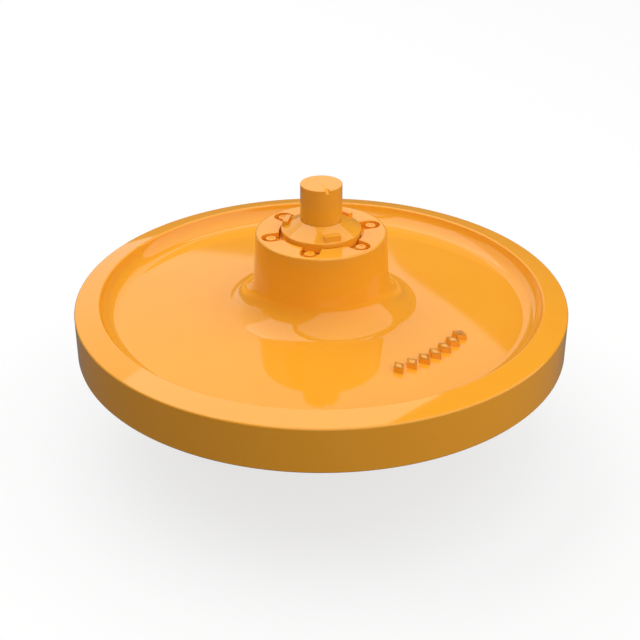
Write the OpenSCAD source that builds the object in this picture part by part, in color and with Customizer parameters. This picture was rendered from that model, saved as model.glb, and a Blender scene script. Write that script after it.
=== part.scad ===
// Front idler of a small tracked excavator: a cast wheel that turns on a fixed shaft.
// The origin is the wheel's centre and +Z runs along the shaft. Both ends are alike.

/* [Rim] */
// Diameter of the tread that the track runs on
rim_d = 480; // [440:1:560]
// Width of the tread between its corners
tread_w = 44; // [36:0.5:60]
// Radial width of the rim's sloping side face
rim_side_w = 24.5; // [20:0.5:30]
// Axial rise of the side face from the tread to the inner lip
rim_side_rise = 5.4; // [4:0.1:12]
// Rounding of the tread's corners
tread_edge_r = 2; // [1:0.5:7]
// Rounding of the rim's inner lip
rim_lip_r = 2; // [1:0.5:4]
// Radial lean of the rim's inner wall
rim_wall_lean = 4; // [2:0.5:6]
// Fillet between the rim's inner wall and the web
rim_root_r = 18; // [6:0.5:20]

/* [Web] */
// Thickness of the web where it meets the rim
web_t = 20.4; // [16:0.2:26]
// Slope of each web face, rising towards the hub, in degrees
web_slope = 2.4; // [0:0.1:4]

/* [Hub] */
// Length of the hub between its end faces
hub_len = 182; // [170:1:220]
// Draft of the hub's outer wall, in degrees
hub_draft = 3.5; // [1:0.1:5]
// Fillet between the hub and the web
hub_root_r = 30; // [10:1:36]
// Rounding of the hub's end edges
hub_edge_r = 2; // [0.5:0.5:3]
// Wall between a screw pocket and the hub's end edge
pocket_wall = 4; // [3.2:0.1:8]
// Height of the shoulder that each bearing cup stops on
shoulder_h = 4; // [3:0.5:6]
// Axial length of that shoulder
shoulder_len = 9; // [5:0.5:15]
// Depth of the cored oil chamber beyond the bearing bore
chamber_depth = 6; // [2:0.5:10]

/* [Casting marks] */
// Number of raised lozenges on the web
mark_count = 7; // [3:1:9]
// Radius of the row of lozenges
mark_row_r = 147; // [125:1:160]
// Direction of the middle of the row, in degrees
mark_middle = -45; // [-180:1:180]
// Angle between two lozenges, in degrees
mark_pitch = 5.6; // [5:0.1:8]
// Radial length of a lozenge
mark_len = 15; // [8:0.5:18]
// Width of a lozenge
mark_w = 11; // [6:0.5:12]
// Height of a lozenge above the web, at the row
mark_h = 5; // [2:0.5:6]
// Share of a lozenge's length and width that its hollow takes
mark_hollow = 0.56; // [0.4:0.02:0.6]

/* [Shaft] */
// Diameter of the shaft
shaft_d = 40; // [36:1:45]
// Length of each bare shaft end beyond its collar
stub_len = 35.8; // [30:0.1:60]
// Chamfer on the shaft's end edges
shaft_chamfer = 0.5; // [0.5:0.5:2]
// Width of the grinding relief at each collar's top, where the bare shaft end begins
relief_w = 1; // [0.6:0.1:2]
// Depth of that relief
relief_depth = 0.3; // [0.25:0.05:0.5]
// Width of the sloping locating notch at each end
notch_w = 4; // [3:0.5:6]
// Radial length of the notch on the end face
notch_len = 6; // [4:0.5:8]
// Depth of the notch at the shaft's side
notch_depth = 3.5; // [1:0.5:5]

/* [Oil filling] */
// Diameter of the oil plug's thread
plug_d = 12; // [10:1:13]
// Length of the oil plug's thread
plug_len = 12; // [8:1:20]
// Diameter of the oil plug's flange
plug_flange_d = 17; // [16:0.5:18]
// Thickness of the oil plug's flange
plug_flange_t = 3; // [2:0.5:4]
// Width across flats of the oil plug's socket
plug_key = 6; // [5:1:8]
// Depth of the oil plug's socket
plug_key_depth = 7; // [4:0.5:8]
// Thickness of the sealing washer
washer_t = 1.5; // [1:0.5:2.5]
// Radial room around the plug's flange
plug_room = 1.5; // [1:0.1:1.5]
// Depth of the plug's head below the shaft's end face
plug_sink = 1.5; // [0.5:0.5:4]
// Diameter of the oil gallery along the shaft
gallery_d = 8; // [5:0.5:9]
// Diameter of the cross hole into the oil chamber
cross_d = 6; // [4:0.5:8]

/* [Bearings] */
// Radial section of a bearing, from the shaft to the hub's bore
bearing_section = 20; // [19:0.5:23]
// Width of a bearing over its two rings
bearing_w = 19.75; // [19.25:0.25:23]
// Width of the outer ring
cup_w = 16; // [15:0.25:17]
// Width of the inner ring
cone_w = 18; // [17.5:0.25:18.5]
// Half angle of the outer ring's raceway, in degrees
cup_angle = 14; // [13.5:0.25:15]
// Half angle of the inner ring's raceway, in degrees
cone_angle = 10; // [9.5:0.25:10.5]
// Number of rollers
roller_count = 16; // [12:1:16]
// Length of a roller
roller_len = 13; // [11:0.5:13.5]
// Distance of the rollers' middle from the outer ring's back face
roller_mid = 9.5; // [9:0.25:10]
// Height of the rollers' axis above the large rib's edge
big_rib_drop = 1.9; // [1.5:0.1:2.5]
// Height of the rollers' axis above the small rib's edge
small_rib_drop = 3.5; // [3:0.1:3.8]
// Thickness of the cage's sheet
cage_t = 1.4; // [1:0.1:1.6]
// Height of the cage's inner face above the rollers' axis
cage_lift = 1.2; // [0.8:0.1:1.6]
// Length of the cage beyond each end of the rollers
cage_over = 1.5; // [1.2:0.1:1.8]
// Wall of the spacer tube between the inner rings
spacer_wall = 4; // [3:0.5:5]

/* [Seal retainer] */
// Number of retainer screws on each end
screw_count = 6; // [4:1:6]
// Direction of the first screw, in degrees
screw_start = 17.5; // [0:0.5:60]
// Thread diameter of a retainer screw
screw_d = 6; // [5:1:8]
// Length of a retainer screw under its head
screw_len = 20; // [18:1:30]
// Width across flats of the screw's socket
screw_key = 5; // [4:0.5:6]
// Depth of the screw's socket
screw_key_depth = 3; // [2:0.5:4]
// Depth of the screw heads below the hub's end face
head_sink = 0.4; // [0:0.1:2]
// Radial step from the bearing bore to the end recess
recess_step = 0.5; // [0.5:0.5:2]
// Distance of the screws from the end recess's wall
screw_step = 9.5; // [8:0.5:12]
// Diameter of the screw pockets in the hub's end
pocket_d = 18; // [16:0.2:20]
// Thickness of the retainer's flange
flange_t = 8.5; // [8:0.5:12]
// Length of the spigot that holds the bearing cup
spigot_len = 6.5; // [6:0.5:9]
// Wall of the spigot
spigot_wall = 4.5; // [4:0.1:4.8]
// Section diameter of the O-ring around the spigot
retainer_ring_d = 2.4; // [2:0.1:2.8]
// Thickness of the lip that backs the turning toric
lip_t = 1.7; // [1.2:0.1:2.2]
// Radial clearance of that lip around the collar's sleeve
lip_gap = 6; // [5:0.5:6.5]

/* [Face seals] */
// Radial clearance of the seal rings around the collar's sleeve
seal_clear = 1.5; // [1:0.1:2]
// Height of a metal seal ring
seal_ring_h = 7; // [6:0.5:7.5]
// Thickness of a seal ring's face flange
seal_face_t = 2.3; // [1.8:0.1:2.6]
// Radial width of a seal ring's face
seal_face_w = 7.5; // [6.5:0.1:8]
// Radial section of a seal ring under its ramp, at the face
seal_ramp_h = 4.3; // [4:0.1:4.6]
// Angle of the seal ramps, in degrees
ramp_angle = 12; // [8:0.5:15]
// Section diameter of a rubber toric
toric_d = 5; // [4.5:0.1:5.2]
// Distance of the torics' middle from the seal faces
toric_s = 5; // [4.9:0.1:5.3]
// Depth of each seal's housing from the seal faces
housing_depth = 8; // [7.8:0.1:8.5]

/* [End collar] */
// Wall of the collar's sleeve
sleeve_wall = 5; // [4:0.5:5.5]
// Gap between the collar and the recess's wall
collar_gap = 2.1; // [1:0.1:2.5]
// Height of the collar's edge above the hub's end face
collar_rise = 3.5; // [3:0.5:8]
// Height of the collar's cone
collar_cone_h = 9.7; // [9:0.1:12]
// Width of the flat top around the shaft
collar_flat_w = 0.5; // [0.5:0.5:2]
// Number of level pads that stand on the cone
pad_count = 3; // [2:1:3]
// Width of a pad
pad_w = 16; // [10:0.5:18]
// Radial length of a pad
pad_len = 5.5; // [4:0.5:8]
// Height of the pads above the collar's edge
pad_h = 6.8; // [5:0.1:8]
// Distance of the pads from the collar's edge
pad_margin = 1.9; // [1.5:0.1:4]
// Section diameter of the collar's O-ring
o_ring_d = 2.6; // [2:0.1:3]
// Depth of the O-ring's middle below the collar's top
o_ring_drop = 8.7; // [8.4:0.1:9]

/* [Circlip] */
// Diameter of the circlip's wire
clip_d = 2.4; // [2:0.1:2.6]
// Depth of its groove in the shaft, which takes the whole wire while the collar slides on
clip_groove_depth = 2.7; // [2.7:0.1:3.5]
// Depth of the circlip's middle below the collar's top
clip_drop = 4.2; // [4:0.1:4.6]
// Width of the gap between the circlip's ends
clip_gap = 9; // [7:0.5:11]

/* [Fits] */
// Clearance around a seated ring or pin
seat_gap = 0.02; // [0.01:0.01:0.05]
// Radial clearance of the screws in the flange's holes
hole_gap = 0.3; // [0.2:0.05:0.5]
// Clearance between a roller and its raceways
roller_gap = 0.05; // [0.03:0.01:0.1]
// Clearance between a roller and its window in the cage
window_gap = 0.25; // [0.15:0.05:0.4]
// Clearance between a roller's ends and the ribs
rib_gap = 0.15; // [0.1:0.05:0.3]
// Clearance between the two running seal faces
face_gap = 0.1; // [0.05:0.05:0.3]
// Running gap between the collar's skirt and the retainer
skirt_gap = 1; // [0.8:0.1:1.5]
// Clearance of the retainer in the hub's recess
recess_gap = 0.4; // [0.2:0.1:0.8]

/* [Hidden] */
$fn = 96;
cut = 1;                      // how far a cutting shape runs past the face that it opens
ring_spread = 0.8;            // room in a groove for a squeezed O-ring to spread
paint = [0.98, 0.66, 0.16];   // yellow-orange finish of everything that shows
steel = [0.72, 0.73, 0.75];
dark_steel = [0.42, 0.43, 0.45];
rubber = [0.12, 0.12, 0.13];
copper = [0.75, 0.45, 0.28];

// Radii, from the shaft outwards
shaft_r = shaft_d / 2;
sleeve_r = shaft_r + sleeve_wall;
bearing_r = shaft_r + bearing_section;
recess_r = bearing_r + recess_step;
collar_r = recess_r - collar_gap;
screw_r = recess_r + screw_step;
pocket_r = pocket_d / 2;
hub_r = screw_r + pocket_r + pocket_wall;
shoulder_r = bearing_r - shoulder_h;
rim_r = rim_d / 2;

// Heights, from the hub's end face inwards
hub_half = hub_len / 2;
head_d = screw_d * 5 / 3;     // a socket screw's head is 10 mm on a 6 mm thread and as high as the thread
head_top = hub_half - head_sink;
flange_top = head_top - screw_d;
flange_bottom = flange_top - flange_t;
cup_front = flange_bottom - spigot_len;
cup_back = cup_front - cup_w;
cone_back = cup_back + bearing_w;
spigot_ring_z = cup_front + spigot_len / 2;
cone_front = cone_back - cone_w;

// Heights, from the hub's end face outwards
seal_z = flange_top + skirt_gap / 2;
skirt_bottom = flange_top + skirt_gap;
housing_top = seal_z + housing_depth;
housing_floor = seal_z - housing_depth;
collar_edge = hub_half + collar_rise;
collar_top = collar_edge + collar_cone_h;
clip_groove_w = clip_d + 0.1; // the grooves are a tenth wider than the wire
clip_z = collar_top - clip_drop;
shaft_half = collar_top + stub_len;

// Corners of the wheel's section, from the hub's end face out to the tread
tread_half = tread_w / 2;
rim_lip = [rim_r - rim_side_w, tread_half + rim_side_rise];
rim_foot = [rim_lip[0] - rim_wall_lean, web_t / 2];
hub_corner = [hub_r, hub_half];
hub_foot_r = (hub_r + (hub_half - rim_foot[1] - rim_foot[0] * tan(web_slope)) * tan(hub_draft))
    / (1 - tan(web_slope) * tan(hub_draft));
hub_foot = [hub_foot_r, web_z(hub_foot_r)];
tread_corner = [rim_r, tread_half];
half_outline = [[0, hub_half], hub_corner, hub_foot, rim_foot, rim_lip, tread_corner];

// The fillet at the rim's foot stops where the rounding of the lip begins
lip_reach = rim_lip_r / tan(half_angle(rim_lip, rim_foot, tread_corner));
rim_root_limit = (norm(rim_lip - rim_foot) - lip_reach) * tan(half_angle(rim_foot, hub_foot, rim_lip));
rim_root = min(rim_root_r, rim_root_limit);

// Rollers: their axes and both raceways meet in one point on the wheel's axis
pitch_r = (shaft_r + bearing_r) / 2;
axis_angle = (cup_angle + cone_angle) / 2;
roller_taper = (cup_angle - cone_angle) / 2;
apex_z = cup_back + roller_mid - pitch_r / tan(axis_angle);
roller_start = pitch_r / sin(axis_angle) - roller_len / 2;
roller_end = roller_start + roller_len;

// Pads on the collar's cone, each midway between two screws; the shaft's notch lines up with one
pad_start = screw_start + 180 / screw_count;
notch_angle = pad_start - 360 / pad_count;
collar_flat_r = shaft_r + collar_flat_w;
pad_in_r = collar_r - pad_margin - pad_len;

// Shaft end with the oil plug
plug_seat = shaft_half - plug_sink - plug_flange_t - washer_t;
plug_bore_d = plug_flange_d + 2 * plug_room;

// Height of the web's upper face at a radius
function web_z(r) = rim_foot[1] + (rim_foot[0] - r) * tan(web_slope);
// Radius of a roller, with no clearance, at a distance from the common point
function roller_r(l) = l * tan(roller_taper);
// Section point at a distance along the rollers' axis and a height above it
function on_roller(l, up) = [
    l * sin(axis_angle) + up * cos(axis_angle),
    apex_z + l * cos(axis_angle) - up * sin(axis_angle)
];
// Radii of a seal ring's ramp and of the housing's ramp at a distance from the seal face
function ring_ramp_r(s) = sleeve_r + seal_clear + seal_ramp_h - s * tan(ramp_angle);
function housing_ramp_r(s) = ring_ramp_r(s) + toric_d / cos(ramp_angle);
function unit(v) = v / norm(v);
// Half the angle that an outline makes at a corner
function half_angle(corner, before, after) = acos(unit(before - corner) * unit(after - corner)) / 2;

// The same shape on both ends
module both_ends() {
    children();
    mirror([0, 0, 1]) children();
}

// A piece of the upper end, turned into the lower end's
module lower() {
    mirror([0, 0, 1]) children();
}

// The sliver between a corner of an outline and the arc that rounds it, run a little past the corner
module corner_sliver(corner, before, after, r) {
    u = unit(before - corner);
    v = unit(after - corner);
    half = half_angle(corner, before, after);
    difference() {
        polygon([corner - unit(u + v) * cut, corner + u * r / tan(half), corner + v * r / tan(half)]);
        translate(corner + unit(u + v) * r / sin(half)) circle(r);
    }
}

module wheel_section() {
    mirrored = [for (i = [len(half_outline) - 1 : -1 : 0]) [half_outline[i][0], -half_outline[i][1]]];
    difference() {
        union() {
            polygon(concat(half_outline, mirrored));
            for (side = [0, 1]) {
                mirror([0, side]) {
                    corner_sliver(hub_foot, hub_corner, rim_foot, hub_root_r);
                    corner_sliver(rim_foot, hub_foot, rim_lip, rim_root);
                }
            }
        }
        for (side = [0, 1]) {
            mirror([0, side]) {
                corner_sliver(hub_corner, [0, hub_half], hub_foot, hub_edge_r);
                corner_sliver(rim_lip, rim_foot, tread_corner, rim_lip_r);
                corner_sliver(tread_corner, rim_lip, [rim_r, 0], tread_edge_r);
            }
        }
    }
}

// Circle with a round-ended slot to each screw
module lobed_outline(r, lobe_r) {
    circle(r);
    for (i = [0 : screw_count - 1]) {
        rotate(screw_start + i * 360 / screw_count) {
            translate([screw_r, 0]) circle(lobe_r);
            translate([0, -lobe_r]) square([screw_r, 2 * lobe_r]);
        }
    }
}

module at_screws() {
    for (i = [0 : screw_count - 1]) {
        rotate(screw_start + i * 360 / screw_count) translate([screw_r, 0, 0]) children();
    }
}

module hexagon(flats, depth) {
    cylinder(d = flats / cos(30), h = depth, $fn = 6);
}

module lozenge(length, width) {
    polygon([[-length / 2, 0], [0, -width / 2], [length / 2, 0], [0, width / 2]]);
}

// Row of plain hollow lozenges that stands on the web where a foundry puts its marks
module casting_marks() {
    for (i = [0 : mark_count - 1]) {
        rotate(mark_middle + (i - (mark_count - 1) / 2) * mark_pitch) {
            linear_extrude(web_z(mark_row_r) + mark_h) {
                translate([mark_row_r, 0]) {
                    difference() {
                        lozenge(mark_len, mark_w);
                        lozenge(mark_len * mark_hollow, mark_w * mark_hollow);
                    }
                }
            }
        }
    }
}

// Cored space in the middle of the hub that holds the oil
module oil_chamber() {
    chamber_half = cup_back - shoulder_len;
    chamber_r = bearing_r + chamber_depth;
    slope = chamber_r - shoulder_r;
    rotate_extrude() {
        polygon([
            [0, -chamber_half], [shoulder_r, -chamber_half], [chamber_r, slope - chamber_half],
            [chamber_r, chamber_half - slope], [shoulder_r, chamber_half], [0, chamber_half]
        ]);
    }
}

module idler_wheel() {
    tapped_depth = screw_len + screw_d / 2;
    color(paint) {
        difference() {
            union() {
                rotate_extrude() wheel_section();
                casting_marks();
            }
            translate([0, 0, -hub_half - cut]) cylinder(r = shoulder_r, h = hub_len + 2 * cut);
            oil_chamber();
            both_ends() {
                translate([0, 0, cup_back]) cylinder(r = bearing_r, h = hub_half);
                translate([0, 0, flange_bottom]) linear_extrude(hub_half) lobed_outline(recess_r, pocket_r);
                at_screws() {
                    translate([0, 0, flange_top - tapped_depth]) {
                        cylinder(d = screw_d + 2 * seat_gap, h = hub_half);
                    }
                }
            }
        }
    }
}

module shaft() {
    color(paint) {
        difference() {
            rotate_extrude() {
                polygon([
                    [0, -shaft_half], [shaft_r - shaft_chamfer, -shaft_half],
                    [shaft_r, shaft_chamfer - shaft_half], [shaft_r, shaft_half - shaft_chamfer],
                    [shaft_r - shaft_chamfer, shaft_half], [0, shaft_half]
                ]);
            }
            both_ends() {
                rotate_extrude() {
                    translate([shaft_r - clip_groove_depth, clip_z - clip_groove_w / 2]) {
                        square([clip_groove_depth + cut, clip_groove_w]);
                    }
                    translate([shaft_r - relief_depth, collar_top - relief_w / 2]) {
                        square([relief_depth + cut, relief_w]);
                    }
                }
                rotate([90, 0, notch_angle]) linear_extrude(notch_w, center = true) {
                    polygon([
                        [shaft_r + cut, shaft_half + cut],
                        [shaft_r - notch_len - cut * notch_len / notch_depth, shaft_half + cut],
                        [shaft_r + cut, shaft_half - notch_depth - cut * notch_depth / notch_len]
                    ]);
                }
            }
            lower() {
                cylinder(d = gallery_d, h = plug_seat);
                translate([0, 0, plug_seat - plug_len - washer_t]) {
                    cylinder(d = plug_d + 2 * seat_gap, h = plug_len + plug_seat);
                }
                translate([0, 0, plug_seat]) cylinder(d = plug_bore_d, h = shaft_half);
            }
            rotate([0, 90, 0]) cylinder(d = cross_d, h = shaft_d + 2 * cut, center = true);
        }
    }
}

module bearing_spacer() {
    spacer_r = shaft_r + spacer_wall;
    color(steel) {
        difference() {
            translate([0, 0, -cone_front]) cylinder(r = spacer_r, h = 2 * cone_front);
            translate([0, 0, -cone_front - cut]) {
                cylinder(r = shaft_r + seat_gap, h = 2 * cone_front + 2 * cut);
            }
            rotate([0, 90, 0]) cylinder(d = cross_d, h = 2 * spacer_r + 2 * cut, center = true);
        }
    }
}

module oil_plug() {
    head_z = plug_seat + washer_t;
    color(dark_steel) {
        difference() {
            union() {
                translate([0, 0, plug_seat - plug_len + washer_t]) cylinder(d = plug_d, h = plug_len);
                translate([0, 0, head_z]) cylinder(d = plug_flange_d, h = plug_flange_t);
            }
            translate([0, 0, head_z + plug_flange_t - plug_key_depth]) {
                hexagon(plug_key, plug_key_depth + cut);
            }
        }
    }
}

module oil_plug_washer() {
    color(copper) {
        difference() {
            translate([0, 0, plug_seat]) cylinder(d = plug_flange_d, h = washer_t);
            translate([0, 0, plug_seat - cut]) cylinder(d = plug_d + 2 * seat_gap, h = washer_t + 2 * cut);
        }
    }
}

module bearing_cup() {
    back_r = (cup_back - apex_z) * tan(cup_angle);
    front_r = (cup_front - apex_z) * tan(cup_angle);
    color(steel) {
        rotate_extrude() {
            polygon([
                [back_r, cup_back], [bearing_r, cup_back], [bearing_r, cup_front], [front_r, cup_front]
            ]);
        }
    }
}

module bearing_cone() {
    start = roller_start - rib_gap;
    end = roller_end + rib_gap;
    small_rib = on_roller(start, -small_rib_drop);
    big_rib = on_roller(end, -big_rib_drop);
    color(steel) {
        rotate_extrude() {
            polygon([
                [shaft_r, cone_front], [small_rib[0], cone_front], small_rib,
                on_roller(start, -roller_r(start)), on_roller(end, -roller_r(end)),
                big_rib, [big_rib[0], cone_back], [shaft_r, cone_back]
            ]);
        }
    }
}

// All rollers of one bearing, each grown by a gap all round
module roller_ring(gap) {
    for (i = [0 : roller_count - 1]) {
        rotate(i * 360 / roller_count) translate([0, 0, apex_z]) rotate([0, axis_angle, 0]) {
            translate([0, 0, roller_start - gap]) {
                cylinder(
                    r1 = roller_r(roller_start) + gap,
                    r2 = roller_r(roller_end) + gap,
                    h = roller_len + 2 * gap
                );
            }
        }
    }
}

module bearing_rollers() {
    color(steel) roller_ring(-roller_gap);
}

module bearing_cage() {
    start = roller_start - cage_over;
    end = roller_end + cage_over;
    color(dark_steel) {
        difference() {
            rotate_extrude() {
                polygon([
                    on_roller(start, cage_lift), on_roller(end, cage_lift),
                    on_roller(end, cage_lift + cage_t), on_roller(start, cage_lift + cage_t)
                ]);
            }
            roller_ring(window_gap);
        }
    }
}

module seal_retainer() {
    spigot_r = bearing_r - seat_gap;
    lip_bottom = housing_floor - lip_t;
    lip_r = sleeve_r + lip_gap;
    throat_r = bearing_r - spigot_wall;
    groove_w = retainer_ring_d + ring_spread;
    color(paint) {
        difference() {
            union() {
                translate([0, 0, flange_bottom]) {
                    linear_extrude(flange_t) lobed_outline(recess_r - recess_gap, pocket_r - recess_gap);
                }
                translate([0, 0, cup_front]) cylinder(r = spigot_r, h = spigot_len + flange_t);
            }
            rotate_extrude() {
                polygon([
                    [0, cup_front - cut], [throat_r, cup_front - cut], [throat_r, lip_bottom],
                    [lip_r, lip_bottom], [lip_r, housing_floor],
                    [housing_ramp_r(housing_depth), housing_floor],
                    [housing_ramp_r(-skirt_gap), seal_z + skirt_gap], [0, seal_z + skirt_gap]
                ]);
            }
            rotate_extrude() {
                translate([bearing_r - retainer_ring_d, spigot_ring_z - groove_w / 2]) {
                    square([retainer_ring_d + cut, groove_w]);
                }
            }
            at_screws() {
                translate([0, 0, flange_bottom - cut]) {
                    cylinder(d = screw_d + 2 * hole_gap, h = flange_t + 2 * cut);
                }
            }
        }
    }
}

module retainer_o_ring() {
    color(rubber) {
        rotate_extrude() {
            translate([bearing_r - retainer_ring_d / 2, spigot_ring_z]) {
                circle(d = retainer_ring_d - 2 * seat_gap);
            }
        }
    }
}

module retainer_screws() {
    color(paint) {
        at_screws() {
            difference() {
                union() {
                    translate([0, 0, flange_top - screw_len]) cylinder(d = screw_d, h = screw_len);
                    translate([0, 0, flange_top]) cylinder(d = head_d, h = screw_d);
                }
                translate([0, 0, head_top - screw_key_depth]) hexagon(screw_key, screw_key_depth + cut);
            }
        }
    }
}

// Metal face seal ring; way is 1 for the collar's half and -1 for the retainer's half
module seal_ring(way) {
    bore_r = sleeve_r + seal_clear;
    section = [
        [bore_r, face_gap / 2], [bore_r + seal_face_w, face_gap / 2],
        [bore_r + seal_face_w, seal_face_t], [ring_ramp_r(seal_face_t), seal_face_t],
        [ring_ramp_r(seal_ring_h), seal_ring_h], [bore_r, seal_ring_h]
    ];
    color(steel) {
        rotate_extrude() polygon([for (p = section) [p[0], seal_z + way * p[1]]]);
    }
}

// Rubber ring between a seal ring's ramp and its housing's ramp
module toric(way) {
    middle_r = (ring_ramp_r(toric_s) + housing_ramp_r(toric_s)) / 2;
    color(rubber) {
        rotate_extrude() translate([middle_r, seal_z + way * toric_s]) circle(d = toric_d - 2 * seat_gap);
    }
}

module turning_seal_ring() {
    seal_ring(-1);
}

module turning_toric() {
    toric(-1);
}

module fixed_seal_ring() {
    seal_ring(1);
}

module fixed_toric() {
    toric(1);
}

module end_collar() {
    groove_w = o_ring_d + ring_spread;
    color(paint) {
        difference() {
            union() {
                rotate_extrude() {
                    polygon([
                        [shaft_r, cone_back], [sleeve_r, cone_back], [sleeve_r, housing_top],
                        [housing_ramp_r(housing_depth), housing_top],
                        [housing_ramp_r(skirt_gap / 2), skirt_bottom], [collar_r, skirt_bottom],
                        [collar_r, collar_edge], [collar_flat_r, collar_top], [shaft_r, collar_top]
                    ]);
                }
                for (i = [0 : pad_count - 1]) {
                    rotate(pad_start + i * 360 / pad_count) {
                        translate([pad_in_r, -pad_w / 2, collar_edge]) cube([pad_len, pad_w, pad_h]);
                    }
                }
            }
            rotate_extrude() {
                translate([shaft_r - cut, collar_top - o_ring_drop - groove_w / 2]) {
                    square([o_ring_d + cut, groove_w]);
                }
            }
            rotate_extrude() {
                translate([shaft_r - cut, clip_z - clip_groove_w / 2]) {
                    square([clip_d / 2 + seat_gap + cut, clip_groove_w]);
                }
            }
        }
    }
}

module collar_o_ring() {
    color(rubber) {
        rotate_extrude() {
            translate([shaft_r + o_ring_d / 2, collar_top - o_ring_drop]) circle(d = o_ring_d - 2 * seat_gap);
        }
    }
}

// Open ring of spring wire, half in the shaft's groove and half in the collar's, its gap opposite the notch
module circlip() {
    color(steel) {
        rotate(notch_angle + 180) {
            difference() {
                rotate_extrude() translate([shaft_r, clip_z]) circle(d = clip_d);
                translate([0, -clip_gap / 2, clip_z - clip_d]) cube([shaft_d, clip_gap, 2 * clip_d]);
            }
        }
    }
}

idler_wheel();
shaft();
bearing_spacer();
lower() oil_plug();
lower() oil_plug_washer();
bearing_cup();  // upper_bearing_cup
lower() bearing_cup();  // lower_bearing_cup
bearing_cone();  // upper_bearing_cone
lower() bearing_cone();  // lower_bearing_cone
bearing_rollers();  // upper_bearing_rollers
lower() bearing_rollers();  // lower_bearing_rollers
bearing_cage();  // upper_bearing_cage
lower() bearing_cage();  // lower_bearing_cage
seal_retainer();  // upper_seal_retainer
lower() seal_retainer();  // lower_seal_retainer
retainer_o_ring();  // upper_retainer_o_ring
lower() retainer_o_ring();  // lower_retainer_o_ring
retainer_screws();  // upper_retainer_screws
lower() retainer_screws();  // lower_retainer_screws
turning_seal_ring();  // upper_turning_seal_ring
lower() turning_seal_ring();  // lower_turning_seal_ring
turning_toric();  // upper_turning_toric
lower() turning_toric();  // lower_turning_toric
fixed_seal_ring();  // upper_fixed_seal_ring
lower() fixed_seal_ring();  // lower_fixed_seal_ring
fixed_toric();  // upper_fixed_toric
lower() fixed_toric();  // lower_fixed_toric
end_collar();  // upper_end_collar
lower() end_collar();  // lower_end_collar
collar_o_ring();  // upper_collar_o_ring
lower() collar_o_ring();  // lower_collar_o_ring
circlip();  // upper_circlip
lower() circlip();  // lower_circlip
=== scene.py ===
# Looks of an excavator front idler: a painted cast wheel that turns on a fixed shaft.
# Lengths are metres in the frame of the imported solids: origin in the wheel's middle, +Z along the shaft.
from math import atan2, cos, pi, radians, sin, sqrt, tan

import bmesh
import bpy
from mathutils import Matrix, Vector


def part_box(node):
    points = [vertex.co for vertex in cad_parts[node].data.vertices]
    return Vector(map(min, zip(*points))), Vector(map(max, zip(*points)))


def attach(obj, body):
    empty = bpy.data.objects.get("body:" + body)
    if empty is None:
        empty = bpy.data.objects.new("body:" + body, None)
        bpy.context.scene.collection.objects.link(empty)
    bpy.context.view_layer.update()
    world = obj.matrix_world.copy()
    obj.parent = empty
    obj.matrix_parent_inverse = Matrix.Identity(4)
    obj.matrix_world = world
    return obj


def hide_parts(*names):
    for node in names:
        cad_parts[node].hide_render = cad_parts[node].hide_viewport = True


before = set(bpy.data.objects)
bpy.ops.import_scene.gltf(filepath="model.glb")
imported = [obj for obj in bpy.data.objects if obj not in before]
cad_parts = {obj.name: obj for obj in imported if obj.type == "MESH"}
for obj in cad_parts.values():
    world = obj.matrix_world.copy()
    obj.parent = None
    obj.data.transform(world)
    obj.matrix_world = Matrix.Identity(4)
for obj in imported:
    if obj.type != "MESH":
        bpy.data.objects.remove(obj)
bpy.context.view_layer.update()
mm = 0.001

# Paint: yellow-orange machine enamel, sprayed over the whole idler once it is assembled. The film is
# glossy, with a fine orange peel, and follows the skin of the casting or the tool marks under it.
paint_light = (0.95, 0.40, 0.026, 1)
paint_deep = (0.92, 0.37, 0.02, 1)


class Wire:
    """An output in a node tree. Maths on wires adds Math nodes, and node() adds any other node."""

    def __init__(self, tree, socket=None):
        self.tree = tree
        self.socket = socket

    def node(self, kind, settings, sockets, output=0):
        made = self.tree.nodes.new("ShaderNode" + kind)
        for name, value in settings.items():
            setattr(made, name, value)
        for name, value in sockets.items():
            if isinstance(value, Wire):
                self.tree.links.new(value.socket, made.inputs[name])
            else:
                made.inputs[name].default_value = value
        return Wire(self.tree, made.outputs[output] if made.outputs else None)

    def maths(self, operation, first, second):
        return self.node("Math", {"operation": operation}, {0: first, 1: second})

    def __add__(self, other):
        return self.maths("ADD", self, other)

    def __radd__(self, other):
        return self.maths("ADD", other, self)

    def __sub__(self, other):
        return self.maths("SUBTRACT", self, other)

    def __rsub__(self, other):
        return self.maths("SUBTRACT", other, self)

    def __mul__(self, other):
        return self.maths("MULTIPLY", self, other)

    def __rmul__(self, other):
        return self.maths("MULTIPLY", other, self)


def new_material(name):
    """An empty material and the wire that starts its nodes."""
    material = bpy.data.materials.new(name)
    material.use_nodes = True
    material.node_tree.nodes.clear()
    return material, Wire(material.node_tree)


def grain(wire, place, size, detail=2.0):
    """Noise from 0 to 1 whose grains are about that size."""
    sockets = {"Vector": place, "Scale": 1 / size, "Detail": detail, "Roughness": 0.5}
    return wire.node("TexNoise", {"noise_dimensions": "3D"}, sockets)


def mixed(wire, factor, first, second):
    """A colour between two colours."""
    return wire.node("Mix", {"data_type": "RGBA"}, {0: factor, 6: first, 7: second}, output=2)


def surface(wire, base, roughness, height, constants):
    """Ends a material in a shader whose relief is the height, in millimetres."""
    relief = wire.node("Bump", {}, {"Strength": 1.0, "Distance": mm, "Height": height})
    sockets = {"Base Color": base, "Roughness": roughness, "Normal": relief}
    sockets.update(constants)
    shader = wire.node("BsdfPrincipled", {}, sockets)
    wire.node("OutputMaterial", {}, {"Surface": shader})


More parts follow.
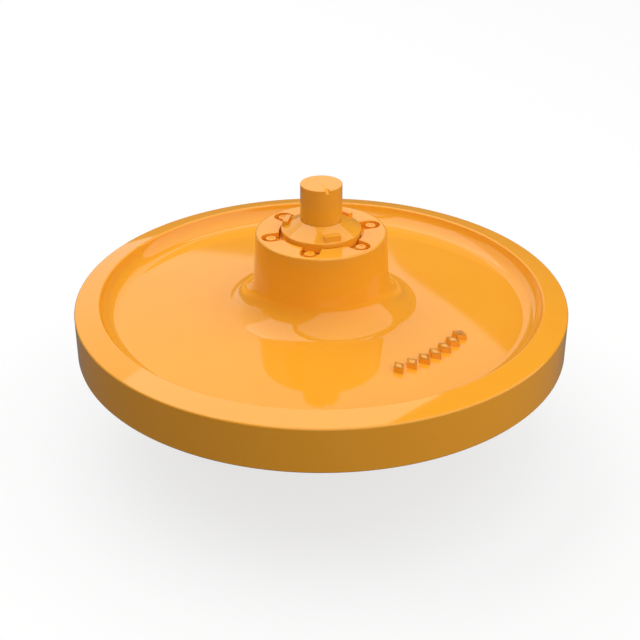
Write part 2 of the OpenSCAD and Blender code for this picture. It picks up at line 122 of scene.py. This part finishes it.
def machine_paint(name, skin_wave, skin_grain):
    """Enamel over a skin with that height of waves and of fine grain, in millimetres."""
    material, wire = new_material(name)
    place = wire.node("TexCoord", {}, {}, output="Object")
    film = grain(wire, place, 60 * mm, detail=4.0)
    waves = grain(wire, place, 85 * mm, detail=1.0)
    peel = grain(wire, place, 2.6 * mm)
    fine = grain(wire, place, 0.9 * mm, detail=3.0)
    base = mixed(wire, film, paint_deep, paint_light)
    roughness = 0.03 + 0.03 * film + 0.01 * fine
    height = skin_wave * waves + 0.002 * peel + skin_grain * fine
    surface(wire, base, roughness, height, {"IOR": 1.5})
    return material


cast_paint = machine_paint("cast_paint", skin_wave=0.03, skin_grain=0.001)
turned_paint = machine_paint("turned_paint", skin_wave=0.0, skin_grain=0.0005)

# Shaft: a ground steel bar that stands still in the yoke of the track frame. It is turned, grooved for the
# circlip in each collar, notched for the yoke's lock plate and bored at the lower end for the oil plug.
shaft_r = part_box("shaft")[1].x
shaft_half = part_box("shaft")[1].z
shaft_edge = 0.5 * mm
groove_r = 17.3 * mm
groove_low, groove_high = (corner.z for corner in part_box("upper_circlip"))
relief_r = 19.7 * mm
relief_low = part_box("upper_end_collar")[1].z - 0.5 * mm
relief_high = relief_low + 1 * mm
notch_angle = radians(287.5)
notch_w = 4 * mm
notch_len = 6 * mm
notch_depth = 3.5 * mm
plug_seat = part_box("oil_plug_washer")[1].z
plug_bore_r = 10 * mm
gallery_r = 4 * mm


def outline(corners, closed):
    """A bmesh of one section in the XZ plane, from corners of (radius, height, rounding)."""
    bm = bmesh.new()
    places = [Vector((r, 0, z)) for r, z, rounding in corners]
    verts = [bm.verts.new(place) for place in places]
    for i in range(len(verts) if closed else len(verts) - 1):
        bm.edges.new((verts[i], verts[(i + 1) % len(verts)]))
    for i, (r, z, rounding) in enumerate(corners):
        if rounding:
            before = places[i - 1] - places[i]
            after = places[(i + 1) % len(places)] - places[i]
            reach = rounding / tan(before.angle(after) / 2)
            segments = 3 if rounding < 3 * mm else max(10, round(rounding / mm))
            bmesh.ops.bevel(
                bm, geom=[verts[i]], offset=reach, offset_type="OFFSET",
                segments=segments, profile=0.5, affect="VERTICES", material=-1,
            )
    return bm


def turned(corners, steps, closed=True):
    """A bmesh turned from that section, a full turn around the Z axis."""
    bm = outline(corners, closed)
    bmesh.ops.spin(
        bm, geom=bm.verts[:] + bm.edges[:], cent=(0, 0, 0), axis=(0, 0, 1), dvec=(0, 0, 0),
        angle=2 * pi, steps=steps, use_merge=True,
    )
    bmesh.ops.remove_doubles(bm, verts=bm.verts, dist=0.001 * mm)
    bmesh.ops.recalc_face_normals(bm, faces=bm.faces)
    return bm


def mill(bm, turn, sides, floor, edge):
    """Mills a seat down to floor(place) and rounds its upper edges. The seat lies within all sides, given
    as (place, outward normal). It is described before a turn around the Z axis."""
    aim = Matrix.Rotation(turn, 3, "Z")
    planes = [(aim @ Vector(place), aim @ Vector(normal)) for place, normal in sides]

    def depth(place):
        return place.z - floor(aim.inverted() @ place)

    def reached(face, place, normal):
        return any((v.co - place).dot(normal) < 0 for v in face.verts)

    faces = []
    for face in bm.faces:
        if max(depth(v.co) for v in face.verts) > 0.1 * mm and face.normal.z > -0.5:
            if all(reached(face, place, normal) for place, normal in planes):
                faces.append(face)
    for place, normal in planes:
        parts = dict.fromkeys(faces)
        for face in faces:
            parts.update(dict.fromkeys(face.edges))
            parts.update(dict.fromkeys(face.verts))
        cut = bmesh.ops.bisect_plane(
            bm, geom=list(parts), dist=0.001 * mm, plane_co=place, plane_no=normal,
        )
        faces = [part for part in cut["geom"] if isinstance(part, bmesh.types.BMFace)]
    waste = []
    for face in faces:
        middle = face.calc_center_median()
        if all((middle - place).dot(normal) < 0 for place, normal in planes):
            waste.append(face)
    bmesh.ops.delete(bm, geom=waste, context="FACES")
    mouth = [e for e in bm.edges if e.is_boundary]
    for part in bmesh.ops.extrude_edge_only(bm, edges=mouth)["geom"]:
        if isinstance(part, bmesh.types.BMVert) and depth(part.co) > 0:
            part.co.z -= depth(part.co)
    bmesh.ops.remove_doubles(bm, verts=bm.verts, dist=0.1 * mm)
    bmesh.ops.holes_fill(bm, edges=[e for e in bm.edges if e.is_boundary], sides=0)
    bmesh.ops.recalc_face_normals(bm, faces=bm.faces)
    lips = []
    for e in mouth:
        if e.is_valid and e.calc_face_angle(0) > radians(30):
            if min(depth(v.co) for v in e.verts) > edge:
                lips.append(e)
    bmesh.ops.bevel(
        bm, geom=lips, offset=edge, offset_type="OFFSET", segments=2, profile=0.5,
        affect="EDGES", clamp_overlap=True, material=-1,
    )


def piece(name, bm, body, material, slot, *stands_for):
    """Makes a finished, evenly shaded object of a bmesh that rides on a body and stands for CAD nodes."""
    bmesh.ops.remove_doubles(bm, verts=bm.verts, dist=0.001 * mm)
    bmesh.ops.recalc_face_normals(bm, faces=bm.faces)
    mesh = bpy.data.meshes.new(name)
    bm.to_mesh(mesh)
    bm.free()
    mesh.shade_smooth()
    mesh.set_sharp_from_angle(angle=radians(40))
    mesh.materials.append(material)
    made = bpy.data.objects.new(name, mesh)
    bpy.context.scene.collection.objects.link(made)
    shading = made.modifiers.new("even_shading", "WEIGHTED_NORMAL")
    shading.keep_sharp = True
    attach(made, body)
    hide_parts(*stands_for)
    return made


shaft = turned([
    (0, shaft_half, 0),
    (shaft_r, shaft_half, shaft_edge),
    (shaft_r, shaft_half - notch_depth, 0),
    (shaft_r, relief_high, 0),
    (relief_r, relief_high, 0),
    (relief_r, relief_low, 0),
    (shaft_r, relief_low, 0),
    (shaft_r, groove_high, 0),
    (groove_r, groove_high, 0),
    (groove_r, groove_low, 0),
    (shaft_r, groove_low, 0),
    (shaft_r, -groove_low, 0),
    (groove_r, -groove_low, 0),
    (groove_r, -groove_high, 0),
    (shaft_r, -groove_high, 0),
    (shaft_r, -relief_low, 0),
    (relief_r, -relief_low, 0),
    (relief_r, -relief_high, 0),
    (shaft_r, -relief_high, 0),
    (shaft_r, notch_depth - shaft_half, 0),
    (shaft_r, -shaft_half, shaft_edge),
    (plug_bore_r, -shaft_half, 0.4 * mm),
    (plug_bore_r, plug_seat, 0),
    (gallery_r, plug_seat, 0),
    (gallery_r, 0, 0),
    (0, 0, 0),
], steps=128, closed=False)
notch_sides = [
    ((shaft_r - notch_len, 0, 0), (-1, 0, 0)),
    ((0, notch_w / 2, 0), (0, 1, 0)),
    ((0, -notch_w / 2, 0), (0, -1, 0)),
]


def notch_floor(place):
    """Height of the notch's floor, which slopes outwards from the end face."""
    return shaft_half - notch_depth * (place.x - shaft_r + notch_len) / notch_len


for way in (1, -1):
    bmesh.ops.scale(shaft, vec=(1, 1, way), verts=shaft.verts)
    bmesh.ops.recalc_face_normals(shaft, faces=shaft.faces)
    mill(shaft, notch_angle, notch_sides, notch_floor, edge=0.2 * mm)
    bmesh.ops.scale(shaft, vec=(1, 1, way), verts=shaft.verts)
piece("painted_shaft", shaft, "axle", turned_paint, "paint", "shaft")

# Bearings: two tapered roller bearings and the tube that spaces them on the shaft. Rings and rollers are
# ground bearing steel, the cages are pressed from sheet, and the wheel's oil runs through them.
def lathe_place(wire):
    """The section that a surface point turns on: its radius and height, for marks that run round."""
    place = wire.node("TexCoord", {}, {}, output="Object")
    across = wire.node("VectorMath", {"operation": "MULTIPLY"}, {0: place, 1: (1, 1, 0)})
    radius = wire.node("VectorMath", {"operation": "LENGTH"}, {0: across}, output="Value")
    height = wire.node("SeparateXYZ", {}, {"Vector": place}, output="Z")
    return wire.node("CombineXYZ", {}, {"X": radius, "Y": height})


def lathe_metal(name, light, dark, gloss, mark_size, mark_height):
    """Bare metal with fine marks that run round the axis, from its grinding, turning or pressing."""
    material, wire = new_material(name)
    section = lathe_place(wire)
    place = wire.node("TexCoord", {}, {}, output="Object")
    marks = grain(wire, section, mark_size, detail=3.0)
    stain = grain(wire, place, 14 * mm, detail=4.0)
    base = mixed(wire, stain, dark, light)
    roughness = gloss + 0.12 * marks + 0.06 * stain
    surface(wire, base, roughness, mark_height * marks, {"Metallic": 1.0})
    return material


def dress(material, *names):
    """Gives CAD nodes that keep their own mesh a finish."""
    for name in names:
        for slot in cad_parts[name].material_slots:
            slot.material = material


ground_steel = lathe_metal(
    "ground_steel", (0.62, 0.63, 0.64, 1), (0.52, 0.53, 0.54, 1),
    gloss=0.16, mark_size=0.25 * mm, mark_height=0.002,
)
pressed_steel = lathe_metal(
    "pressed_steel", (0.42, 0.42, 0.43, 1), (0.33, 0.33, 0.35, 1),
    gloss=0.32, mark_size=0.8 * mm, mark_height=0.004,
)
dress(ground_steel, "bearing_spacer")
for end in ("upper", "lower"):
    dress(ground_steel, end + "_bearing_cup", end + "_bearing_cone", end + "_bearing_rollers")
    dress(pressed_steel, end + "_bearing_cage")

# Wheel: one steel casting of rim, dished web and hub. The rim and the hub's ends are turned, the hub is
# bored for the bearings, and six pockets for the retainer's lobes are milled into each end.
rim_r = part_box("idler_wheel")[1].x
hub_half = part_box("idler_wheel")[1].z
tread_half = 22 * mm
rim_side_w = 24.5 * mm
rim_side_rise = 5.4 * mm
rim_wall_lean = 4 * mm
web_half = 10.2 * mm
web_slope = tan(radians(2.4))
hub_slope = tan(radians(3.5))
hub_r = 63 * mm
hub_edge = 2 * mm
hub_root = 30 * mm
rim_root = 18 * mm
screw_count = 6
screw_r = 50 * mm
screw_start = radians(17.5)
recess_r = 40.5 * mm
pocket_r = 9 * mm
pocket_edge = 0.6 * mm
bearing_r = 40 * mm
shoulder_r = 36 * mm
chamber_r = 46 * mm
flange_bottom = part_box("upper_seal_retainer")[1].z - 8.5 * mm
cup_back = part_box("upper_bearing_cup")[0].z
shoulder_len = 9 * mm
pocket_steps = 60
end_steps = 20
side_steps = 22

lip_r = rim_r - rim_side_w
rim_foot_r = lip_r - rim_wall_lean
hub_foot_r = hub_r + (hub_half - web_half - rim_foot_r * web_slope) * hub_slope
hub_foot_r = hub_foot_r / (1 - web_slope * hub_slope)


def web_height(r):
    """Height of the web's upper face at a radius."""
    return web_half + (rim_foot_r - r) * web_slope


half_section = [
    (hub_r - hub_edge - 0.2 * mm, hub_half, 0),
    (hub_r, hub_half, hub_edge),
    (hub_foot_r, web_height(hub_foot_r), hub_root),
    (rim_foot_r, web_half, rim_root),
    (lip_r, tread_half + rim_side_rise, 2 * mm),
    (rim_r, tread_half, 2 * mm),
]
other_half = [(r, -z, rounding) for r, z, rounding in reversed(half_section)]
wheel = turned(half_section + other_half, steps=screw_count * pocket_steps, closed=False)
bmesh.ops.rotate(wheel, verts=wheel.verts, cent=(0, 0, 0), matrix=Matrix.Rotation(screw_start, 3, "Z"))


def pocket_place(place):
    """Where a vertex of the hub's end goes on the outline of recess and pockets."""
    step = round((atan2(place.y, place.x) - screw_start) / (2 * pi) * screw_count * pocket_steps)
    pocket, step = divmod(step + pocket_steps // 2, pocket_steps)
    step -= pocket_steps // 2
    corner = atan2(pocket_r, sqrt(recess_r ** 2 - pocket_r ** 2))
    if abs(step) <= end_steps:
        turn = abs(step) / end_steps * pi / 2
        x = screw_r + pocket_r * cos(turn)
        y = pocket_r * sin(turn)
    elif abs(step) <= side_steps:
        along = (abs(step) - end_steps) / (side_steps - end_steps)
        x = screw_r + (recess_r * cos(corner) - screw_r) * along
        y = pocket_r
    else:
        along = (abs(step) - side_steps) / (pocket_steps / 2 - side_steps)
        turn = corner + (pi / screw_count - corner) * along
        x = recess_r * cos(turn)
        y = recess_r * sin(turn)
    flat = Vector((x, y if step > 0 else -y, place.z))
    return Matrix.Rotation(screw_start + pocket * 2 * pi / screw_count, 3, "Z") @ flat


def carry_on(bm, edges, place):
    """Extrudes a loop of edges, puts each new vertex at place(old position) and returns the new loop."""
    made = bmesh.ops.extrude_edge_only(bm, edges=edges)["geom"]
    for part in made:
        if isinstance(part, bmesh.types.BMVert):
            part.co = place(part.co)
    return [part for part in made if isinstance(part, bmesh.types.BMEdge) and part.is_boundary]


def ring_place(r, z):
    """Places vertices on a ring, each at the angle that it has."""
    return lambda place: Vector((place.x, place.y, 0)).normalized() * r + Vector((0, 0, z))


for way in (1, -1):
    edge = [e for e in wheel.edges if e.is_boundary and e.verts[0].co.z * way > 0]
    lips = carry_on(wheel, edge, pocket_place)
    floor = Vector((0, 0, (flange_bottom - hub_half) * way))
    edge = carry_on(wheel, lips, lambda place: place + floor)
    for r, z in (
        (bearing_r, flange_bottom),
        (bearing_r, cup_back),
        (shoulder_r, cup_back),
        (shoulder_r, cup_back - shoulder_len),
        (chamber_r, cup_back - shoulder_len - (chamber_r - shoulder_r)),
    ):
        edge = carry_on(wheel, edge, ring_place(r, z * way))
    bmesh.ops.bevel(
        wheel, geom=lips, offset=pocket_edge, offset_type="OFFSET", segments=3, profile=0.5,
        affect="EDGES", clamp_overlap=True, material=-1,
    )
bmesh.ops.bridge_loops(wheel, edges=[e for e in wheel.edges if e.is_boundary])

# Casting marks: a row of plain hollow lozenges on the web, where a foundry sets its marks. They are cast
# with the wheel, with drafted sides and a soft foot, and the paint rounds their edges.
mark_count = 7
mark_row_r = 147 * mm
mark_middle = radians(-45)
mark_pitch = radians(5.6)
mark_len = 15 * mm
mark_w = 11 * mm
mark_h = 5 * mm
mark_sunk = 1.5 * mm
mark_edge = 0.7 * mm
mark_walls = [(mark_sunk, 0.95), (0.8 * mm, 0.97), (mark_h - 0.8 * mm, 0.92)]
mark_hollow = [(0, 0.6), (0.3 * mm - mark_h, 0.8)]


def raised(bm, face, rise, scale):
    """Extrudes a level face upwards, scales the new face about its middle and returns it."""
    made = bmesh.ops.extrude_face_region(bm, geom=[face])["geom"]
    verts = [part for part in made if isinstance(part, bmesh.types.BMVert)]
    bmesh.ops.translate(bm, verts=verts, vec=(0, 0, rise))
    bmesh.ops.scale(bm, verts=verts, vec=(scale, scale, 1))
    return next(part for part in made if isinstance(part, bmesh.types.BMFace))


for i in range(mark_count):
    mark = bmesh.new()
    bmesh.ops.create_circle(mark, cap_ends=True, radius=mark_len / 2, segments=4)
    bmesh.ops.scale(mark, vec=(1.12, 1.12 * mark_w / mark_len, 1), verts=mark.verts)
    face = mark.faces[:][0]
    for rise, scale in mark_walls + mark_hollow:
        face = raised(mark, face, rise, scale)
    bmesh.ops.recalc_face_normals(mark, faces=mark.faces)
    sharp = [e for e in mark.edges if e.calc_face_angle(0) > radians(50) and e.is_convex]
    bmesh.ops.bevel(
        mark, geom=sharp, offset=mark_edge, offset_type="OFFSET", segments=3, profile=0.5,
        affect="EDGES", clamp_overlap=True, material=-1,
    )
    direction = mark_middle + (i - (mark_count - 1) / 2) * mark_pitch
    seat = Matrix.Rotation(direction, 4, "Z")
    seat = seat @ Matrix.Translation((mark_row_r, 0, web_height(mark_row_r) - mark_sunk))
    seat = seat @ Matrix.Rotation(radians(2.4), 4, "Y")
    bmesh.ops.transform(mark, matrix=seat, verts=mark.verts)
    loose = bpy.data.meshes.new("mark")
    mark.to_mesh(loose)
    mark.free()
    wheel.from_mesh(loose)
    bpy.data.meshes.remove(loose)

piece("painted_wheel", wheel, "wheel", cast_paint, "paint", "idler_wheel")

# Seal retainers: six-lobed steel plates that clamp the bearing cups and carry the turning half of each
# face seal. Only their lobes show, in the pockets of the hub, under the same paint.
for end in ("upper", "lower"):
    dress(turned_paint, end + "_seal_retainer")

# Face seals: pairs of lapped hard-iron rings that run on each other, each carried by a rubber toric, and
# the O-rings that seal the retainers in the hub and the collars on the shaft.
def moulded_rubber(name):
    """Matt black nitrile rubber with a fine moulded skin and a trace of bloom."""
    material, wire = new_material(name)
    place = wire.node("TexCoord", {}, {}, output="Object")
    skin = grain(wire, place, 0.5 * mm, detail=3.0)
    bloom = grain(wire, place, 9 * mm, detail=4.0)
    base = mixed(wire, bloom, (0.014, 0.014, 0.015, 1), (0.028, 0.028, 0.029, 1))
    surface(wire, base, 0.5 + 0.15 * bloom, 0.01 * skin, {"IOR": 1.5})
    return material


seal_rubber = moulded_rubber("seal_rubber")
lapped_iron = lathe_metal(
    "lapped_iron", (0.50, 0.50, 0.51, 1), (0.40, 0.40, 0.42, 1),
    gloss=0.10, mark_size=0.12 * mm, mark_height=0.001,
)
for end in ("upper", "lower"):
    dress(lapped_iron, end + "_turning_seal_ring", end + "_fixed_seal_ring")
    dress(seal_rubber, end + "_turning_toric", end + "_fixed_toric")
    dress(seal_rubber, end + "_retainer_o_ring", end + "_collar_o_ring")

# Retainer screws: six socket head screws on each end, sunk in the pockets. They are painted over with the
# rest, so the paint rounds their edges and nearly fills their sockets.
screw_shank_r = 3 * mm
screw_head_r = 5 * mm
screw_head_edge = 0.7 * mm
screw_socket = 2.2 * mm
socket_depth = 0.5 * mm
screw_low, screw_high = (corner.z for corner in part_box("upper_retainer_screws"))
head_bottom = screw_high - 2 * screw_shank_r


def hexagon_sides(apothem):
    """The six sides of a socket, as places and outward normals."""
    normals = [(cos(i * pi / 3), sin(i * pi / 3), 0) for i in range(6)]
    return [(tuple(apothem * part for part in normal), normal) for normal in normals]


def socket_screw():
    """One screw on the Z axis, its head up."""
    bm = turned([
        (0, screw_high, 0),
        (screw_head_r, screw_high, screw_head_edge),
        (screw_head_r, head_bottom, 0),
        (screw_shank_r, head_bottom, 0),
        (screw_shank_r, screw_low, 0.5 * mm),
        (0, screw_low, 0),
    ], steps=48, closed=False)
    mill(bm, 0, hexagon_sides(screw_socket), lambda place: screw_high - socket_depth, edge=0.3 * mm)
    return bm


def gathered(parts):
    """Joins bmeshes into one."""
    whole = bmesh.new()
    for part in parts:
        loose = bpy.data.meshes.new("loose")
        part.to_mesh(loose)
        part.free()
        whole.from_mesh(loose)
        bpy.data.meshes.remove(loose)
    return whole


for end, way in (("upper", 1), ("lower", -1)):
    screws = []
    for i in range(screw_count):
        screw = socket_screw()
        bmesh.ops.translate(screw, verts=screw.verts, vec=(screw_r, 0, 0))
        turn = Matrix.Rotation(screw_start + i * 2 * pi / screw_count, 3, "Z")
        bmesh.ops.rotate(screw, verts=screw.verts, cent=(0, 0, 0), matrix=turn)
        bmesh.ops.scale(screw, verts=screw.verts, vec=(1, 1, way))
        screws.append(screw)
    name = end + "_retainer_screws"
    piece("painted_" + name, gathered(screws), "wheel", turned_paint, "paint", name)

# End collars: conical steel collars, turned to slide on the shaft, that carry the fixed half of each face
# seal and cover it. Three level pads stand on the cone, where the yoke's arm bears on it.
collar_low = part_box("upper_end_collar")[0].z
collar_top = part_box("upper_end_collar")[1].z
collar_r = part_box("upper_end_collar")[1].x
collar_edge = collar_top - 9.7 * mm
collar_flat_r = 20.5 * mm
sleeve_r = 25 * mm
skirt_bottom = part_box("upper_seal_retainer")[1].z + 1 * mm
housing_top = skirt_bottom + 7.5 * mm
housing_r = 34.2 * mm
pad_count = 3
pad_start = radians(47.5)
pad_len = 5.5 * mm
pad_w = 16 * mm
pad_in_r = 31 * mm
pad_top = collar_edge + 6.8 * mm
pad_foot = collar_edge - 0.5 * mm
pad_edge = 0.5 * mm


def collar_pad(turn):
    """One pad with rounded edges, its foot inside the cone, at that direction."""
    bm = bmesh.new()
    bmesh.ops.create_cube(bm, size=1)
    bmesh.ops.scale(bm, verts=bm.verts, vec=(pad_len, pad_w, pad_top - pad_foot))
    bmesh.ops.translate(bm, verts=bm.verts, vec=(pad_in_r + pad_len / 2, 0, (pad_top + pad_foot) / 2))
    bmesh.ops.bevel(
        bm, geom=bm.edges[:], offset=pad_edge, offset_type="OFFSET", segments=3, profile=0.5,
        affect="EDGES", clamp_overlap=True, material=-1,
    )
    bmesh.ops.rotate(bm, verts=bm.verts, cent=(0, 0, 0), matrix=Matrix.Rotation(turn, 3, "Z"))
    return bm


for end, way in (("upper", 1), ("lower", -1)):
    parts = [turned([
        (shaft_r, collar_low, 0),
        (sleeve_r, collar_low, 0),
        (sleeve_r, housing_top, 0),
        (housing_r, housing_top, 0),
        (housing_r, skirt_bottom, 0),
        (collar_r, skirt_bottom, 0.4 * mm),
        (collar_r, collar_edge, 0.8 * mm),
        (collar_flat_r, collar_top, 0.2 * mm),
        (shaft_r, collar_top, 0),
    ], steps=144)]
    parts += [collar_pad(pad_start + i * 2 * pi / pad_count) for i in range(pad_count)]
    collar = gathered(parts)
    bmesh.ops.scale(collar, verts=collar.verts, vec=(1, 1, way))
    name = end + "_end_collar"
    piece("painted_" + name, collar, "axle", turned_paint, "paint", name)

# Circlips: open rings of spring wire inside the collars, half in the shaft's groove and half in the
# collar's. They spring outwards as a collar slides home and hold it there, bare and out of sight.
for end in ("upper", "lower"):
    dress(ground_steel, end + "_circlip")

# Oil plug: a zinc-plated hexagon socket plug in the shaft's lower end, sunk below the end face. It is
# turned from bar, broached, and screwed down on a soft copper washer after the idler is painted.
plug_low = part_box("oil_plug")[0].z
plug_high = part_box("oil_plug")[1].z
plug_flange_r = 8.5 * mm
plug_thread_r = 6 * mm
plug_key = 6 * mm
plug_key_depth = 7 * mm
flange_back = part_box("oil_plug_washer")[0].z
plated_steel = lathe_metal(
    "plated_steel", (0.66, 0.66, 0.64, 1), (0.56, 0.55, 0.52, 1),
    gloss=0.22, mark_size=0.5 * mm, mark_height=0.004,
)
soft_copper = lathe_metal(
    "soft_copper", (0.72, 0.36, 0.22, 1), (0.58, 0.26, 0.15, 1),
    gloss=0.28, mark_size=0.6 * mm, mark_height=0.004,
)


def flat_ring(inner_r, outer_r, low, high, edge):
    """Corners of a flat ring's section with rounded edges."""
    return [(inner_r, low, edge), (outer_r, low, edge), (outer_r, high, edge), (inner_r, high, edge)]


plug = turned([
    (0, -plug_low, 0),
    (plug_flange_r, -plug_low, 0.5 * mm),
    (plug_flange_r, -flange_back, 0.2 * mm),
    (plug_thread_r, -flange_back, 0),
    (plug_thread_r, -plug_high, 1 * mm),
    (0, -plug_high, 0),
], steps=64, closed=False)
mill(plug, 0, hexagon_sides(plug_key / 2), lambda place: -plug_low - plug_key_depth, edge=0.3 * mm)
bmesh.ops.scale(plug, verts=plug.verts, vec=(1, 1, -1))
piece("socket_oil_plug", plug, "axle", plated_steel, "plug_steel", "oil_plug")
washer = turned(flat_ring(plug_thread_r, plug_flange_r, flange_back, plug_seat, 0.2 * mm), steps=64)
piece("soft_oil_plug_washer", washer, "axle", soft_copper, "copper", "oil_plug_washer")

# Studio: the idler stands upright on the lower end of its shaft, on a plain pale floor. The floor is white
# where it is seen, with the idler's soft shadow, and throws little light back up.
floor_size = 120
floor_grey = (0.1, 0.1, 0.1, 1)
floor_pale = (0.95, 0.95, 0.95, 1)
white = (1, 1, 1, 1)
seen_glow = 0.72
shadow_reach = 1
white_reach = 4
mirrored_glow = 0.05
paper, wire = new_material("studio_paper")
camera_ray = wire.node("LightPath", {}, {}, output="Is Camera Ray")
glossy_ray = wire.node("LightPath", {}, {}, output="Is Glossy Ray")
clear_ray = wire.node("LightPath", {}, {}, output="Is Transmission Ray")
place = wire.node("TexCoord", {}, {}, output="Object")
pulp = grain(wire, place, 40 * mm, detail=3.0)
base = mixed(wire, camera_ray, floor_grey, floor_pale)
matt = wire.node("BsdfPrincipled", {}, {"Base Color": base, "Roughness": 0.9 + 0.05 * pulp})
glow = wire.node("Emission", {}, {"Color": white, "Strength": 1.0})
away = wire.node("VectorMath", {"operation": "LENGTH"}, {0: place}, output="Value")
limits = {"From Min": shadow_reach, "From Max": white_reach, "To Min": seen_glow, "To Max": 1.0}
fade = wire.node("MapRange", {}, {"Value": away, **limits})
share = fade * camera_ray + mirrored_glow * (glossy_ray + clear_ray)
blend = wire.node("MixShader", {}, {0: share, 1: matt, 2: glow})
wire.node("OutputMaterial", {}, {"Surface": blend})
ground = bmesh.new()
bmesh.ops.create_grid(ground, x_segments=1, y_segments=1, size=floor_size / 2)
bmesh.ops.translate(ground, verts=ground.verts, vec=(0, 0, -shaft_half))
floor_mesh = bpy.data.meshes.new("studio_floor")
ground.to_mesh(floor_mesh)
ground.free()
floor_mesh.materials.append(paper)
studio_floor = bpy.data.objects.new("studio_floor", floor_mesh)
bpy.context.scene.collection.objects.link(studio_floor)

# Light: a soft box hangs over the idler, dimmer ones carry on to the left of it and far behind it, and the
# last leans over it from the right front. Their edges and the dark gaps between them show in the gloss.
def soft_box(name, middle, aim, side, width, length, radiance):
    """A flat, evenly bright lamp that faces along the aim, with its width along the side."""
    lamp = bpy.data.lights.new(name, "AREA")
    lamp.shape = "RECTANGLE"
    lamp.size = width
    lamp.size_y = length
    lamp.energy = radiance * pi * width * length
    box = bpy.data.objects.new(name, lamp)
    bpy.context.scene.collection.objects.link(box)
    box.location = middle
    back = -Vector(aim).normalized()
    axes = Matrix((Vector(side).normalized(), back.cross(Vector(side)).normalized(), back))
    box.rotation_euler = axes.transposed().to_euler()


def hung_box(name, edge, turn, width, back, front, radiance):
    """A level soft box. Its right edge passes through a place and runs that far to the back and front."""
    along = Vector((-sin(turn), cos(turn), 0))
    across = Vector((cos(turn), sin(turn), 0))
    middle = Vector(edge) - across * width / 2 + along * (back - front) / 2
    soft_box(name, middle, (0, 0, -1), across, width, back + front, radiance)


hung_box("soft_box_near", (0.48, 1.14, 2), radians(-40), width=1.7, back=0.3, front=3.2, radiance=2.0)
hung_box("soft_box_left", (-0.82, 2.23, 2), radians(-40), width=3.5, back=-0.5, front=3.4, radiance=0.75)
hung_box("soft_box_far", (0.87, 3.07, 2), radians(11), width=7.5, back=2.25, front=0.85, radiance=0.88)
hung_box("soft_box_back", (-1.7, 4.8, 2), radians(10), width=4.0, back=10.0, front=0.0, radiance=0.82)
soft_box(
    "soft_box_front", (1.10, -0.60, 1.64), (-0.55, 0.50, -0.67), (0.67, 0.74, 0),
    width=6.0, length=4.2, radiance=1.22,
)

world = bpy.data.worlds.new("studio")
world.use_nodes = True
world.node_tree.nodes.clear()
wire = Wire(world.node_tree)
camera_ray = wire.node("LightPath", {}, {}, output="Is Camera Ray")
glossy_ray = wire.node("LightPath", {}, {}, output="Is Glossy Ray")
clear_ray = wire.node("LightPath", {}, {}, output="Is Transmission Ray")
dim_sky = wire.node("Background", {}, {"Color": white, "Strength": 0.06})
white_sky = wire.node("Background", {}, {"Color": white, "Strength": 1.0})
share = camera_ray + mirrored_glow * (glossy_ray + clear_ray)
blend = wire.node("MixShader", {}, {0: share, 1: dim_sky, 2: white_sky})
wire.node("OutputWorld", {}, {"Surface": blend})
bpy.context.scene.world = world

# Camera: the view of the photograph, from the front and 29 degrees above the wheel.
camera_data = bpy.data.cameras.new("camera")
camera_data.sensor_width = 36
camera_data.lens = 72.47
camera = bpy.data.objects.new("camera", camera_data)
bpy.context.scene.collection.objects.link(camera)
camera.location = (-1.21 * mm, -1125 * mm, 607.7 * mm)
target = Vector((-1.21 * mm, 0, -6.49 * mm))
camera.rotation_euler = (target - camera.location).to_track_quat("-Z", "Y").to_euler()
bpy.context.scene.camera = camera
bpy.context.scene.view_settings.view_transform = "Standard"
